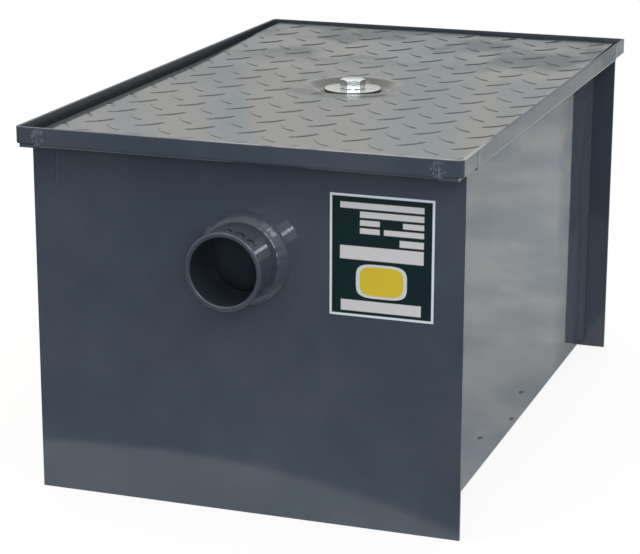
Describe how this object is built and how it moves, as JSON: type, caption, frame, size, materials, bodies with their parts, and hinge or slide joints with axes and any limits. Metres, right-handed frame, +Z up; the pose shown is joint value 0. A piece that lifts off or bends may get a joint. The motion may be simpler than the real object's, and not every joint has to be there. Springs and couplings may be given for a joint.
{
  "type": "grease trap",
  "caption": "Box-shaped steel grease trap with flanged end plates, pipe stubs at both ends and a bolted checker plate cover over baffled chambers.",
  "frame": {"origin": "on the floor under the middle of the tank", "axes": "+Z is up, -Y is the inlet end and +Y the outlet end, +X is to the right seen from the inlet end"},
  "size_m": [0.3524, 0.6, 0.297],
  "materials": {
    "tank_paint": "glossy dark blue-grey enamel on folded steel",
    "cover_paint": "glossy dark grey enamel on checker plate",
    "inner_paint": "dark grey acid-resistant enamel",
    "gasket_rubber": "matt black rubber strip",
    "seal_rubber": "matt black rubber ring",
    "zinc_washer": "zinc plated steel",
    "zinc_bolt": "bright zinc plated steel",
    "label_film": "dark green printed film with a pale border and blank boxes"
  },
  "bodies": {
    "tank": {"trough": "tank_paint", "front_plate": "tank_paint", "rear_plate": "tank_paint", "rim_corner_front_left": "tank_paint", "rim_corner_front_right": "tank_paint", "rim_corner_rear_left": "tank_paint", "rim_corner_rear_right": "tank_paint", "inlet_stub": "tank_paint", "outlet_stub": "tank_paint", "cover_gasket": "gasket_rubber", "hold_down_bar": "inner_paint", "weld_nut": "inner_paint", "inlet_baffle": "inner_paint", "inlet_guide_left": "inner_paint", "inlet_guide_right": "inner_paint", "sediment_weir": "inner_paint", "outlet_baffle": "inner_paint", "outlet_guide_left": "inner_paint", "outlet_guide_right": "inner_paint", "data_label": "label_film"},
    "cover": {"cover": "cover_paint", "bolt_seal": "seal_rubber"},
    "washer": {"cover_washer": "zinc_washer"},
    "bolt": {"cover_bolt": "zinc_bolt"}
  },
  "joints": [
    {"name": "cover_lift", "type": "slide", "parent": "tank", "child": "cover", "axis": [0, 0, 1], "range_m": [0, 0.12]},
    {"name": "bolt_rise", "type": "slide", "parent": "cover", "child": "washer", "axis": [0, 0, 1], "range_m": [0, 0.01172]},
    {"name": "bolt_turn", "type": "hinge", "parent": "washer", "child": "bolt", "pos_m": [0, 0, 0.29], "axis": [0, 0, 1], "range_deg": [0, 2160]}
  ],
  "couplings": [
    {"joint": "bolt_turn", "follows": "bolt_rise", "rad_per_m": 3215.5}
  ]
}
